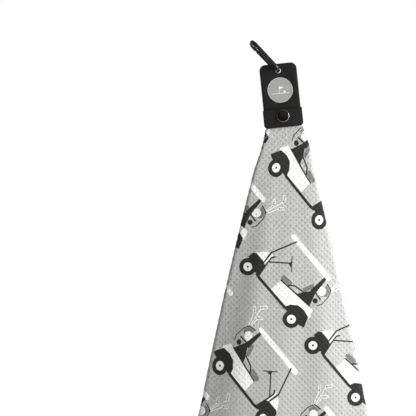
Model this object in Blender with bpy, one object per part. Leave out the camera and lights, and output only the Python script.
"""Golf towel: a waffle cloth whose corner is snapped into a magnetic tag with a small carabiner.

Metres, +Z up, the tag's front faces -Y. The origin is the middle of the magnet's contact pad, on
the tag's back. The tag and all that is fastened to it is modelled in the tag's own frame, under
the empty tag_turn; the carabiner and its gate have an empty each on their hinge axes.
"""

import math

import bmesh
import bpy
from mathutils import Matrix, Vector, geometry

MM = 0.001
GAP = 0.3 * MM  # left between two pieces that touch on the real object
DEEP = 5.0 * MM  # how far a cutter runs out past the face that it opens

# Tag: a moulded plate, 0 at the magnet's middle, Z up the plate
TAG_TURN = math.radians(6.0)  # the top leans to the left, seen from the front
PLATE_WIDTH = 48.4 * MM
PLATE_TOP = 34.4 * MM
PLATE_BOTTOM = -48.6 * MM
PLATE_THICK = 5.8 * MM
PLATE_TOP_RADIUS = 8.0 * MM
PLATE_BOTTOM_RADIUS = 5.0 * MM
PLATE_EDGE = 0.8 * MM
TONGUE_THICK = 2.4 * MM  # the plate's thinner lower end, behind the cloth

# Magnet, its keeper and the round cover in front of them
MAGNET_RADIUS = 14.0 * MM
PAD_MARGIN = 1.0 * MM  # how far the raised pad reaches past the magnet
DISC_MARGIN = 2.3 * MM  # and the round cover
PAD_PROUD = 0.6 * MM
BACK_SKIN = 1.0 * MM
MAGNET_THICK = 3.0 * MM
KEEPER_THICK = 0.7 * MM
DISC_THICK = 1.1 * MM
DISC_RIM_WIDTH = 0.7 * MM
DISC_RIM_HEIGHT = 0.2 * MM

# Flap over the cloth, on a living hinge along its top edge
FLAP_OVERHANG = 1.3 * MM  # how far it stands out past each side of the plate
FLAP_THICK = 2.1 * MM
FLAP_RADIUS = 5.0 * MM
STRIP_HEIGHT = 0.6 * MM

# Snap fastener
SNAP_INSET = 6.7 * MM  # from the cloth's blunt corner down to the snap
CAP_RADIUS = 8.3 * MM
CAP_HEIGHT = 2.2 * MM
CAP_POST_RADIUS = 1.3 * MM
CAP_POST_LENGTH = 0.6 * MM
SOCKET_FLANGE_RADIUS = 5.5 * MM
SOCKET_FLANGE_THICK = 0.6 * MM
SOCKET_BORE = 3.6 * MM
SOCKET_WALL = 0.7 * MM
SOCKET_FLOOR = 0.4 * MM
SOCKET_DEPTH = 2.0 * MM
RING_WIRE = 0.25 * MM
RING_OPENING = math.radians(40.0)
STUD_BASE_RADIUS = 4.5 * MM
STUD_BASE_THICK = 0.6 * MM
STUD_NECK_RADIUS = 1.9 * MM
STUD_HEAD_RADIUS = 2.3 * MM
STUD_HEAD_LENGTH = 0.8 * MM
STUD_TIP_CLEARANCE = 0.2 * MM
POST_RADIUS = 1.0 * MM
POST_HEAD_RADIUS = 4.0 * MM
POST_HEAD_THICK = 0.7 * MM

# Towel: a square cloth hung from one corner, its sides folded behind
TOWEL_SIDE = 406.0 * MM
CLOTH_THICK = 1.5 * MM
MOUTH_INSET = 0.2 * MM  # from each side of the plate in to the cloth
LEFT_FOLD = math.radians(13.2)
RIGHT_FOLD = math.radians(13.0)
TOWEL_DEPTH = 5.0 * MM  # at the middle, where front and folded sides lie on each other
FOLD_DEPTH = 2.4 * MM  # at the folds and at the mouth
TOWEL_DROP = 0.8 * MM  # from the tag's bottom edge down to the axis that the towel swings on
CORNER_TRIM = 2.5 * MM  # half the width of the blunt corner inside the tag

# Carabiner, in its own frame: X from spine to gate, Z along its length, 0 where it lies in the hole
HOLE_HEIGHT = 25.6 * MM
ROD_REST = 0.4 * MM  # how far the rod lies below the middle of its hole
ROD_RADIUS = 2.4 * MM
CARABINER_LENGTH = 50.8 * MM  # between the middles of the rod at both ends
SPINE_REACH = 9.5 * MM
GATE_REACH = 8.5 * MM
NOSE_REACH = 12.5 * MM
BEND_SPINE_LOW = 8.5 * MM
BEND_SPINE_HIGH = 9.0 * MM
BEND_NOSE = 7.0 * MM
BEND_GATE = 7.5 * MM
CARABINER_LEAN = math.radians(37.0)  # from the tag's length, to the left
CARABINER_YAW = math.radians(9.0)  # about its own length, so that the gate shows beside the spine

# Gate, measured along its own length from its hinge
GATE_HINGE = 10.2 * MM  # from the lower gate-side corner of the carabiner to the hinge
GATE_RADIUS = 2.2 * MM
GATE_LENGTH = 28.2 * MM
NOSE_GAP = 1.0 * MM
TONGUE_WIDTH = 3.0 * MM
LATCH_THICK = 1.5 * MM
LATCH_LENGTH = 4.8 * MM
LATCH_PIN_RADIUS = 0.6 * MM
LATCH_PIN_LENGTH = 4.0 * MM
LATCH_PIN_HEIGHT = 3.2 * MM  # above the gate's shoulder
HINGE_TONGUE_THICK = 1.6 * MM
HINGE_TONGUE_RADIUS = 2.0 * MM
RIVET_RADIUS = 0.8 * MM
RIVET_LENGTH = 4.2 * MM
SHOULDER_DROP = 2.8 * MM  # from the hinge down to the frame's shoulder
PLUNGER_RADIUS = 1.15 * MM
PLUNGER_LENGTH = 3.1 * MM
SPRING_LENGTH = 6.6 * MM
SPRING_WIRE = 0.2 * MM
SPRING_TURNS = 5

# Sizes and heights that follow from the sizes above
PAD_RADIUS = MAGNET_RADIUS + PAD_MARGIN
DISC_RADIUS = MAGNET_RADIUS + DISC_MARGIN
FLAP_WIDTH = PLATE_WIDTH + 2 * FLAP_OVERHANG
MOUTH_WIDTH = PLATE_WIDTH - 2 * MOUTH_INSET
CORNER_TOP = PLATE_BOTTOM + MOUTH_WIDTH / 2 - CORNER_TRIM
SNAP_HEIGHT = CORNER_TOP - SNAP_INSET
FLAP_EDGE = max(SNAP_HEIGHT + CAP_RADIUS, CORNER_TOP + 2 * GAP)  # past the cap and the cloth
FLAP_TOP = FLAP_EDGE + GAP + STRIP_HEIGHT
ROD_HEIGHT = HOLE_HEIGHT - ROD_REST
ROD_SLANT = PLATE_THICK / 2 * math.tan(CARABINER_YAW)  # the rod crosses the plate askew
HOLE_CLEARANCE = ROD_SLANT + ROD_REST + GAP

# Depths that follow from them; Y grows towards the back
PLATE_BACK = -PAD_PROUD
PLATE_FRONT = PLATE_BACK - PLATE_THICK
MAGNET_BACK = -BACK_SKIN - GAP
MAGNET_FRONT = MAGNET_BACK - MAGNET_THICK
KEEPER_BACK = MAGNET_FRONT - GAP
KEEPER_FRONT = KEEPER_BACK - KEEPER_THICK
DISC_BACK = KEEPER_FRONT - GAP
DISC_FRONT = DISC_BACK - DISC_THICK
TONGUE_FRONT = PLATE_BACK - TONGUE_THICK
STUD_BACK = TONGUE_FRONT - GAP
STUD_BASE_FRONT = STUD_BACK - STUD_BASE_THICK
CLOTH_BACK = STUD_BASE_FRONT - GAP
CLOTH_FRONT = CLOTH_BACK - CLOTH_THICK
CLOTH_MIDDLE = (CLOTH_BACK + CLOTH_FRONT) / 2
SOCKET_BACK = CLOTH_FRONT - GAP
FLANGE_FRONT = SOCKET_BACK - SOCKET_FLANGE_THICK
FLAP_BACK = FLANGE_FRONT - GAP
FLAP_FRONT = FLAP_BACK - FLAP_THICK
SOCKET_INSIDE = SOCKET_BACK - SOCKET_DEPTH
SOCKET_OUTER = SOCKET_BORE + SOCKET_WALL
CAP_BACK = FLAP_FRONT - GAP
POST_BACK = PLATE_BACK - GAP
STUD_TIP = SOCKET_INSIDE + STUD_TIP_CLEARANCE
POST_TIP = STUD_TIP + STUD_HEAD_LENGTH + GAP
POST_BORE = POST_RADIUS + GAP
MOUTH_HEIGHT = PLATE_BOTTOM - TOWEL_DROP
ROUND = 48  # sides of a large round piece
SMALL_ROUND = 24

# name: base colour, roughness, metallic
FINISHES = {
    "black_silicone": ((0.022, 0.022, 0.022), 0.55, 0.0),
    "magnet_plating": ((0.55, 0.55, 0.56), 0.3, 1.0),
    "keeper_steel": ((0.42, 0.42, 0.43), 0.4, 1.0),
    "grey_disc": ((0.36, 0.34, 0.35), 0.45, 0.0),
    "gunmetal": ((0.06, 0.057, 0.052), 0.25, 0.9),
    "snap_brass": ((0.55, 0.44, 0.24), 0.35, 1.0),
    "black_anodised": ((0.015, 0.015, 0.016), 0.25, 0.8),
    "spring_steel": ((0.5, 0.5, 0.51), 0.3, 1.0),
    "waffle_cloth": ((0.45, 0.45, 0.44), 0.9, 0.0),
}


def clear_scene():
    for thing in list(bpy.data.objects):
        bpy.data.objects.remove(thing, do_unlink=True)


def finish(name):
    """The Principled material of one finish, made once."""
    found = bpy.data.materials.get(name)
    if found:
        return found
    colour, roughness, metallic = FINISHES[name]
    material = bpy.data.materials.new(name)
    material.use_nodes = True
    shader = material.node_tree.nodes["Principled BSDF"]
    shader.inputs["Base Color"].default_value = (*colour, 1.0)
    shader.inputs["Roughness"].default_value = roughness
    shader.inputs["Metallic"].default_value = metallic
    return material


def add_object(name, mesh, parent, finish_name=None, smooth=None):
    """Link a mesh as a named object under its parent; smooth is the sharp-edge angle in degrees."""
    piece = bpy.data.objects.new(name, mesh)
    bpy.context.scene.collection.objects.link(piece)
    piece.parent = parent
    if finish_name:
        mesh.materials.append(finish(finish_name))
    if smooth:
        mesh.shade_smooth()
        mesh.set_sharp_from_angle(angle=math.radians(smooth))
    return piece


def add_axis(name, matrix, parent=None):
    """An empty that carries the pieces of one moving body, on its axis."""
    empty = bpy.data.objects.new(name, None)
    bpy.context.scene.collection.objects.link(empty)
    empty.parent = parent
    empty.matrix_basis = matrix
    return empty


def mesh_from(name, points, faces):
    """A closed mesh from points and faces, with its faces turned outwards."""
    shape = bmesh.new()
    corners = [shape.verts.new(point) for point in points]
    for face in faces:
        shape.faces.new([corners[index] for index in face])
    bmesh.ops.recalc_face_normals(shape, faces=shape.faces)
    mesh = bpy.data.meshes.new(name)
    shape.to_mesh(mesh)
    shape.free()
    return mesh


def turned(name, profile, sides=ROUND, axis="Y", centre=(0.0, 0.0, 0.0)):
    """A solid of revolution. profile is (radius, height) pairs from one pole to the other."""
    points = []
    rings = []
    for radius, height in profile:
        first = len(points)
        count = 1 if radius == 0.0 else sides
        for side in range(count):
            angle = math.tau * side / sides
            points.append((radius * math.cos(angle), radius * math.sin(angle), height))
        rings.append([first + side % count for side in range(sides)])
    faces = []
    for low, high in zip(rings, rings[1:]):
        for side in range(sides):
            after = (side + 1) % sides
            corners = [low[side], low[after], high[after], high[side]]
            faces.append(list(dict.fromkeys(corners)))
    to_axis = Matrix.Rotation(math.radians(-90.0), 4, "X") if axis == "Y" else Matrix()
    place = Matrix.Translation(centre) @ to_axis
    return mesh_from(name, [place @ Vector(point) for point in points], faces)


def disc(name, radius, back, front, height, sides=ROUND):
    """A plain cylinder across the tag, from its back face to its front face."""
    profile = [(0.0, back), (radius, back), (radius, front), (0.0, front)]
    return turned(name, profile, sides, "Y", (0.0, 0.0, height))


def prism(name, outline, back, front):
    """An outline of (x, z) points run through the tag from back to front."""
    count = len(outline)
    points = [(x, back, z) for x, z in outline] + [(x, front, z) for x, z in outline]
    faces = [list(range(count)), list(range(count, 2 * count))]
    for corner in range(count):
        after = (corner + 1) % count
        faces.append([corner, after, after + count, corner + count])
    return mesh_from(name, points, faces)


def block(name, low, high):
    """A box between two corners."""
    outline = [(low[0], low[2]), (high[0], low[2]), (high[0], high[2]), (low[0], high[2])]
    return prism(name, outline, high[1], low[1])


def rounded_outline(half_width, bottom, top, bottom_radius, top_radius, steps=6):
    """A rectangle's outline with round corners; a radius of 0 leaves a square corner."""
    corners = [
        (half_width, bottom, bottom_radius, -90.0),
        (half_width, top, top_radius, 0.0),
        (-half_width, top, top_radius, 90.0),
        (-half_width, bottom, bottom_radius, 180.0),
    ]
    outline = []
    for x, z, radius, start in corners:
        if radius == 0.0:
            outline.append((x, z))
            continue
        middle_x = x - math.copysign(radius, x)
        middle_z = z + radius if z == bottom else z - radius
        for step in range(steps + 1):
            angle = math.radians(start + 90.0 * step / steps)
            outline.append((middle_x + radius * math.cos(angle), middle_z + radius * math.sin(angle)))
    return outline


def sweep(name, path, radius, sides, closed=False):
    """A round rod along a path whose turns lie mostly in one plane; its ends are flat caps."""
    points = []
    count = len(path)
    for index, point in enumerate(path):
        before = path[(index - 1) % count] if closed or index else point
        after = path[(index + 1) % count] if closed or index < count - 1 else point
        along = (after - before).normalized()
        side_way = along.cross(Vector((0.0, 1.0, 0.0))).normalized()
        up_way = side_way.cross(along)
        for side in range(sides):
            angle = math.tau * side / sides
            offset = side_way * math.cos(angle) + up_way * math.sin(angle)
            points.append(point + offset * radius)
    faces = []
    for ring in range(count if closed else count - 1):
        start = ring * sides
        end = (ring + 1) % count * sides
        for side in range(sides):
            after = (side + 1) % sides
            faces.append([start + side, start + after, end + after, end + side])
    if not closed:
        faces.append(list(range(sides)))
        faces.append(list(range((count - 1) * sides, count * sides)))
    return mesh_from(name, points, faces)


def boolean(piece, mesh, operation="DIFFERENCE"):
    """Cut a mesh out of a piece, or join it on, with a hidden guide object."""
    tool = add_object(mesh.name, mesh, piece.parent)
    tool.hide_render = True
    tool.display_type = "WIRE"
    step = piece.modifiers.new(mesh.name, "BOOLEAN")
    step.operation = operation
    step.solver = "EXACT"
    step.object = tool


def soften(piece, width, segments=2):
    """Round a piece's sharp edges."""
    step = piece.modifiers.new("edges", "BEVEL")
    step.width = width
    step.segments = segments
    step.limit_method = "ANGLE"
    step.angle_limit = math.radians(40.0)


def back_plate(tag):
    outline = rounded_outline(
        PLATE_WIDTH / 2, PLATE_BOTTOM, PLATE_TOP, PLATE_BOTTOM_RADIUS, PLATE_TOP_RADIUS
    )
    mesh = prism("back_plate", outline, PLATE_BACK, PLATE_FRONT)
    plate = add_object("back_plate", mesh, tag, "black_silicone")
    soften(plate, PLATE_EDGE)
    overlap = PLATE_THICK / 4
    boolean(plate, disc("pad", PAD_RADIUS, 0.0, PLATE_BACK - overlap, 0.0), "UNION")
    out = PLATE_FRONT - DEEP
    boolean(plate, disc("magnet_pocket", MAGNET_RADIUS + GAP, -BACK_SKIN, out, 0.0))
    boolean(plate, disc("disc_seat", DISC_RADIUS + GAP, DISC_BACK + GAP, out, 0.0))
    hole = ROD_RADIUS + HOLE_CLEARANCE
    boolean(plate, disc("carabiner_hole", hole, DEEP, out, HOLE_HEIGHT, SMALL_ROUND))
    side = PLATE_WIDTH / 2 + DEEP
    low = (-side, out, PLATE_BOTTOM - DEEP)
    high = (side, TONGUE_FRONT, FLAP_EDGE)
    boolean(plate, block("cloth_recess", low, high))
    boolean(plate, disc("post_hole", POST_BORE, DEEP, out, SNAP_HEIGHT, SMALL_ROUND))
    sunk = POST_BACK - POST_HEAD_THICK - GAP
    sink = disc("post_sink", POST_HEAD_RADIUS + GAP, DEEP, sunk, SNAP_HEIGHT, SMALL_ROUND)
    boolean(plate, sink)


def magnet_stack(tag):
    mesh = disc("magnet", MAGNET_RADIUS, MAGNET_BACK, MAGNET_FRONT, 0.0)
    add_object("magnet", mesh, tag, "magnet_plating", 40.0)
    mesh = disc("steel_keeper", MAGNET_RADIUS, KEEPER_BACK, KEEPER_FRONT, 0.0)
    add_object("steel_keeper", mesh, tag, "keeper_steel", 40.0)
    rim = DISC_FRONT - DISC_RIM_HEIGHT
    inside = DISC_RADIUS - DISC_RIM_WIDTH
    profile = [
        (0.0, DISC_BACK),
        (DISC_RADIUS, DISC_BACK),
        (DISC_RADIUS, rim),
        (inside, rim),
        (inside, DISC_FRONT),
        (0.0, DISC_FRONT),
    ]
    add_object("disc_face", turned("disc_face", profile), tag, "grey_disc", 40.0)


def flap_hinge_strip(tag):
    half = FLAP_WIDTH / 2
    low = (-half, FLAP_FRONT, FLAP_TOP - STRIP_HEIGHT)
    high = (half, PLATE_FRONT - GAP, FLAP_TOP)
    mesh = block("flap_hinge_strip", low, high)
    add_object("flap_hinge_strip", mesh, tag, "black_silicone")


def snap_male_side(tag):
    """Stud in front of the plate, and the post that rivets it on from behind."""
    head = STUD_TIP + STUD_HEAD_LENGTH
    edge = STUD_HEAD_RADIUS - STUD_HEAD_LENGTH / 2
    bottom = POST_TIP - GAP
    profile = [
        (0.0, bottom),
        (POST_BORE, bottom),
        (POST_BORE, STUD_BACK),
        (STUD_BASE_RADIUS, STUD_BACK),
        (STUD_BASE_RADIUS, STUD_BASE_FRONT),
        (STUD_NECK_RADIUS, STUD_BASE_FRONT),
        (STUD_NECK_RADIUS, head),
        (STUD_HEAD_RADIUS, head),
        (STUD_HEAD_RADIUS, (head + STUD_TIP) / 2),
        (edge, STUD_TIP),
        (0.0, STUD_TIP),
    ]
    centre = (0.0, 0.0, SNAP_HEIGHT)
    mesh = turned("snap_stud", profile, SMALL_ROUND, "Y", centre)
    add_object("snap_stud", mesh, tag, "snap_brass", 40.0)
    under = POST_BACK - POST_HEAD_THICK
    profile = [
        (0.0, POST_BACK),
        (POST_HEAD_RADIUS, POST_BACK),
        (POST_HEAD_RADIUS, under),
        (POST_RADIUS, under),
        (POST_RADIUS, POST_TIP),
        (0.0, POST_TIP),
    ]
    mesh = turned("snap_post", profile, SMALL_ROUND, "Y", centre)
    add_object("snap_post", mesh, tag, "snap_brass", 40.0)


def towel_corner(tag):
    """The blunt corner of the cloth that lies in the tag, with a hole round the stud."""
    half_mouth = MOUTH_WIDTH / 2
    bottom = PLATE_BOTTOM + TOWEL_DROP
    half_low = half_mouth - TOWEL_DROP
    outline = [
        (-half_low, bottom),
        (half_low, bottom),
        (CORNER_TRIM, CORNER_TOP),
        (-CORNER_TRIM, CORNER_TOP),
    ]
    mesh = prism("towel_corner", outline, CLOTH_BACK, CLOTH_FRONT)
    piece = add_object("towel_corner", mesh, tag, "waffle_cloth")
    hole = STUD_HEAD_RADIUS + 2 * GAP
    boolean(piece, disc("stud_hole", hole, DEEP, -3 * DEEP, SNAP_HEIGHT, SMALL_ROUND))


def front_flap(hinge):
    outline = rounded_outline(FLAP_WIDTH / 2, PLATE_BOTTOM, FLAP_EDGE, FLAP_RADIUS, 0.0)
    mesh = prism("front_flap", outline, FLAP_BACK, FLAP_FRONT)
    mesh.transform(hinge.matrix_basis.inverted())
    flap = add_object("front_flap", mesh, hinge, "black_silicone")
    hole = disc("socket_hole", SOCKET_OUTER + GAP, DEEP, -3 * DEEP, SNAP_HEIGHT, SMALL_ROUND)
    hole.transform(hinge.matrix_basis.inverted())
    boolean(flap, hole)


def snap_female_side(hinge):
    """Domed cap on the flap's front, the socket behind it and the split ring in the socket."""
    to_hinge = hinge.matrix_basis.inverted()
    centre = (0.0, 0.0, SNAP_HEIGHT)
    front = CAP_BACK - CAP_HEIGHT
    steps = 5
    dome = []
    for step in range(steps + 1):
        angle = math.radians(90.0) * step / steps
        lift = CAP_HEIGHT * 0.7 * math.sin(angle)
        shrink = CAP_RADIUS * 0.28 * (1.0 - math.cos(angle))
        dome.append((CAP_RADIUS - shrink, front + CAP_HEIGHT * 0.7 - lift))
    post = CAP_BACK + CAP_POST_LENGTH
    profile = [
        (0.0, post),
        (CAP_POST_RADIUS, post),
        (CAP_POST_RADIUS, CAP_BACK),
        (CAP_RADIUS, CAP_BACK),
        *dome,
        (0.0, front),
    ]
    mesh = turned("snap_cap", profile, ROUND, "Y", centre)
    mesh.transform(to_hinge)
    add_object("snap_cap", mesh, hinge, "gunmetal", 40.0)
    profile = [
        (0.0, SOCKET_INSIDE),
        (SOCKET_BORE, SOCKET_INSIDE),
        (SOCKET_BORE, SOCKET_BACK),
        (SOCKET_FLANGE_RADIUS, SOCKET_BACK),
        (SOCKET_FLANGE_RADIUS, FLANGE_FRONT),
        (SOCKET_OUTER, FLANGE_FRONT),
        (SOCKET_OUTER, SOCKET_INSIDE - SOCKET_FLOOR),
        (0.0, SOCKET_INSIDE - SOCKET_FLOOR),
    ]
    mesh = turned("snap_socket", profile, SMALL_ROUND, "Y", centre)
    mesh.transform(to_hinge)
    add_object("snap_socket", mesh, hinge, "snap_brass", 40.0)
    reach = SOCKET_BORE - GAP - RING_WIRE
    depth = (SOCKET_BACK + SOCKET_INSIDE) / 2
    path = []
    for step in range(SMALL_ROUND + 1):
        angle = RING_OPENING / 2 + (math.tau - RING_OPENING) * step / SMALL_ROUND
        path.append(Vector((reach * math.cos(angle), depth, SNAP_HEIGHT + reach * math.sin(angle))))
    mesh = sweep("socket_ring", path, RING_WIRE, 6)
    mesh.transform(to_hinge)
    add_object("socket_ring", mesh, hinge, "spring_steel", 60.0)


def towel_cloth(swing, turn):
    """The hanging cloth as one thin closed solid: its outline as hung, thickest in the middle."""
    half = MOUTH_WIDTH / 2
    along = Vector((math.cos(turn), math.sin(turn)))
    start = Vector((0.0, -GAP))
    top_left = start - along * half
    top_right = start + along * half
    corner = start + Vector((0.0, half))
    tip = corner - Vector((0.0, TOWEL_SIDE * math.sqrt(2.0)))
    down_left = Vector((-math.sin(LEFT_FOLD), -math.cos(LEFT_FOLD)))
    down_right = Vector((math.sin(RIGHT_FOLD), -math.cos(RIGHT_FOLD)))
    reach = 2 * TOWEL_SIDE
    left = geometry.intersect_line_line_2d(
        top_left, top_left + down_left * reach, tip, tip + Vector((-reach, reach))
    )
    right = geometry.intersect_line_line_2d(
        top_right, top_right + down_right * reach, tip, tip + Vector((reach, reach))
    )
    rows = []
    upper_rows = 9
    for row in range(upper_rows + 1):
        share = row / upper_rows
        rows.append((top_left.lerp(left, share), top_right.lerp(right, share)))
    for share in (0.35, 0.7, 0.96):
        rows.append((left.lerp(tip, share), right.lerp(tip, share)))
    across = 6
    points = []
    for row, (start, end) in enumerate(rows):
        bulge = min(1.0, row / 2) * (TOWEL_DEPTH - FOLD_DEPTH)
        for side in (-1.0, 1.0):
            for step in range(across + 1):
                share = step / across if side < 0 else 1.0 - step / across
                depth = FOLD_DEPTH + bulge * math.sin(math.pi * share)
                place = start.lerp(end, share)
                points.append((place.x, side * depth / 2, place.y))
    ring = 2 * (across + 1)
    faces = [list(range(ring)), list(range(len(points) - ring, len(points)))]
    for row in range(len(rows) - 1):
        low = row * ring
        for side in range(ring):
            after = (side + 1) % ring
            faces.append([low + side, low + after, low + ring + after, low + ring + side])
    add_object("towel_cloth", mesh_from("towel_cloth", points, faces), swing, "waffle_cloth", 50.0)


def bend(corner, before, after, radius, steps=8):
    """The points of a round bend between two straight runs that meet at a corner."""
    to_before = (before - corner).normalized()
    to_after = (after - corner).normalized()
    half_angle = to_before.angle(to_after) / 2
    run = radius / math.tan(half_angle)
    middle = corner + (to_before + to_after).normalized() * radius / math.sin(half_angle)
    first = (corner + to_before * run - middle).normalized()
    last = (corner + to_after * run - middle).normalized()
    return [middle + radius * first.slerp(last, step / steps) for step in range(steps + 1)]


def gate_line():
    """Lower and upper corner on the gate's side, and the direction from one to the other."""
    low = Vector((GATE_REACH, 0.0, 0.0))
    high = Vector((NOSE_REACH, 0.0, CARABINER_LENGTH))
    return low, high, (high - low).normalized()


def carabiner_frame(carabiner, gate):
    low, high, way = gate_line()
    spine_low = Vector((-SPINE_REACH, 0.0, 0.0))
    spine_high = Vector((-SPINE_REACH, 0.0, CARABINER_LENGTH))
    shoulder = low + way * (GATE_HINGE - SHOULDER_DROP)
    nose = low + way * (GATE_HINGE + GATE_LENGTH + NOSE_GAP)
    path = [shoulder]
    path += bend(low, shoulder, spine_low, BEND_GATE)
    path += bend(spine_low, low, spine_high, BEND_SPINE_LOW)
    path += bend(spine_high, spine_low, high, BEND_SPINE_HIGH)
    path += bend(high, spine_high, nose, BEND_NOSE)
    path.append(nose)
    mesh = sweep("carabiner_frame", path, ROD_RADIUS, 16)
    frame = add_object("carabiner_frame", mesh, carabiner, "black_anodised", 40.0)
    to_carabiner = gate.matrix_basis
    half = HINGE_TONGUE_THICK / 2
    outline = [(-HINGE_TONGUE_RADIUS, -SHOULDER_DROP - ROD_RADIUS / 2)]
    for step in range(9):
        angle = math.pi * (1.0 - step / 8)
        outline.append((HINGE_TONGUE_RADIUS * math.cos(angle), HINGE_TONGUE_RADIUS * math.sin(angle)))
    outline.append((HINGE_TONGUE_RADIUS, -SHOULDER_DROP - ROD_RADIUS / 2))
    bored = GATE_LENGTH + LATCH_PIN_HEIGHT
    slot = LATCH_THICK / 2 + GAP
    notch = LATCH_PIN_RADIUS + GAP
    top = GATE_LENGTH + LATCH_LENGTH + GAP
    parts = [
        (prism("hinge_tongue", outline, half, -half), "UNION"),
        (disc("rivet_hole", RIVET_RADIUS + GAP, DEEP, -DEEP, 0.0, 16), "DIFFERENCE"),
        (block("nose_slot", (-DEEP, -slot, GATE_LENGTH), (DEEP, slot, top)), "DIFFERENCE"),
        (block("pin_notch", (-DEEP, -DEEP, bored - notch), (notch, DEEP, bored + notch)), "DIFFERENCE"),
    ]
    for tool, operation in parts:
        tool.transform(to_carabiner)
        boolean(frame, tool, operation)


def gate_hinge_rivet(carabiner, gate):
    half = RIVET_LENGTH / 2
    mesh = disc("gate_hinge_rivet", RIVET_RADIUS, half, -half, 0.0, 16)
    mesh.transform(gate.matrix_basis)
    add_object("gate_hinge_rivet", mesh, carabiner, "spring_steel", 40.0)


def carabiner_gate(gate):
    """Round gate: forked at its hinge, bored for the spring, with a flat latch at its free end."""
    profile = [(0.0, -GATE_RADIUS)]
    for step in range(1, 5):
        angle = math.radians(90.0) * step / 4
        profile.append((GATE_RADIUS * math.sin(angle), -GATE_RADIUS * math.cos(angle)))
    profile += [(GATE_RADIUS, GATE_LENGTH), (0.0, GATE_LENGTH)]
    mesh = turned("carabiner_gate", profile, 16, "Z")
    piece = add_object("carabiner_gate", mesh, gate, "black_anodised", 40.0)
    flat = LATCH_THICK / 2
    half = TONGUE_WIDTH / 2
    low = (-half, -flat, GATE_LENGTH - GATE_RADIUS)
    high = (half, flat, GATE_LENGTH + LATCH_LENGTH)
    boolean(piece, block("latch", low, high), "UNION")
    fork = HINGE_TONGUE_THICK / 2 + GAP
    clear = HINGE_TONGUE_RADIUS + GAP
    boolean(piece, block("fork", (-DEEP, -fork, -DEEP), (DEEP, fork, clear + GAP)))
    end = clear + PLUNGER_LENGTH + SPRING_LENGTH + 2 * GAP
    bore = [(0.0, 0.0), (PLUNGER_RADIUS + GAP, 0.0), (PLUNGER_RADIUS + GAP, end), (0.0, end)]
    boolean(piece, turned("spring_bore", bore, 16, "Z"))
    boolean(piece, disc("gate_rivet_hole", RIVET_RADIUS + GAP, DEEP, -DEEP, 0.0, 16))
    bored = GATE_LENGTH + LATCH_PIN_HEIGHT
    boolean(piece, disc("pin_hole", LATCH_PIN_RADIUS + GAP, DEEP, -DEEP, bored, 16))


def gate_inside(gate):
    """Latch pin across the gate's flat end, and the plunger and spring in its bore."""
    half = LATCH_PIN_LENGTH / 2
    height = GATE_LENGTH + LATCH_PIN_HEIGHT
    mesh = disc("gate_latch_pin", LATCH_PIN_RADIUS, half, -half, height, 16)
    add_object("gate_latch_pin", mesh, gate, "black_anodised", 40.0)
    low = HINGE_TONGUE_RADIUS + GAP
    high = low + PLUNGER_LENGTH
    profile = [(0.0, low), (PLUNGER_RADIUS, low), (PLUNGER_RADIUS, high), (0.0, high)]
    add_object("gate_plunger", turned("gate_plunger", profile, 16, "Z"), gate, "spring_steel", 40.0)
    reach = PLUNGER_RADIUS - SPRING_WIRE
    start = high + GAP + SPRING_WIRE
    rise = SPRING_LENGTH - GAP - 2 * SPRING_WIRE
    steps = 12 * SPRING_TURNS
    path = []
    for step in range(steps + 1):
        angle = math.tau * SPRING_TURNS * step / steps
        path.append(
            Vector((reach * math.cos(angle), reach * math.sin(angle), start + rise * step / steps))
        )
    add_object("gate_spring", coil("gate_spring", path), gate, "spring_steel", 60.0)


def coil(name, path, sides=6):
    """A wire wound round Z: each ring of points stands across the wire, outwards and up."""
    points = []
    for index, point in enumerate(path):
        before = path[max(index - 1, 0)]
        after = path[min(index + 1, len(path) - 1)]
        along = (after - before).normalized()
        outward = Vector((point.x, point.y, 0.0)).normalized()
        upward = along.cross(outward).normalized()
        outward = upward.cross(along)
        for side in range(sides):
            angle = math.tau * side / sides
            points.append(point + (outward * math.cos(angle) + upward * math.sin(angle)) * SPRING_WIRE)
    faces = [list(range(sides)), list(range(len(points) - sides, len(points)))]
    for ring in range(len(path) - 1):
        for side in range(sides):
            after = (side + 1) % sides
            low = ring * sides
            faces.append([low + side, low + after, low + sides + after, low + sides + side])
    return mesh_from(name, points, faces)


def main():
    clear_scene()
    tag = add_axis("tag_turn", Matrix.Rotation(-TAG_TURN, 4, "Y"))
    back_plate(tag)
    magnet_stack(tag)
    flap_hinge_strip(tag)
    snap_male_side(tag)
    towel_corner(tag)

    hinge = add_axis("flap_axis", Matrix.Translation((0.0, FLAP_FRONT, FLAP_EDGE + GAP / 2)), tag)
    front_flap(hinge)
    snap_female_side(hinge)

    hole = Matrix.Translation((0.0, (PLATE_BACK + PLATE_FRONT) / 2, ROD_HEIGHT))
    lean = Matrix.Rotation(-CARABINER_LEAN, 4, "Y")
    across = Matrix.Rotation(math.radians(90.0) + CARABINER_YAW, 4, "Z")
    carabiner = add_axis("carabiner_axis", hole @ lean @ across, tag)
    low, _, way = gate_line()
    tilt = Matrix.Rotation(math.atan2(way.x, way.z), 4, "Y")
    gate = add_axis("gate_axis", Matrix.Translation(low + way * GATE_HINGE) @ tilt, carabiner)
    carabiner_frame(carabiner, gate)
    gate_hinge_rivet(carabiner, gate)
    carabiner_gate(gate)
    gate_inside(gate)

    mouth = tag.matrix_basis @ Vector((0.0, CLOTH_MIDDLE, MOUTH_HEIGHT))
    swing = add_axis("towel_axis", Matrix.Translation(mouth))
    towel_cloth(swing, TAG_TURN)


main()
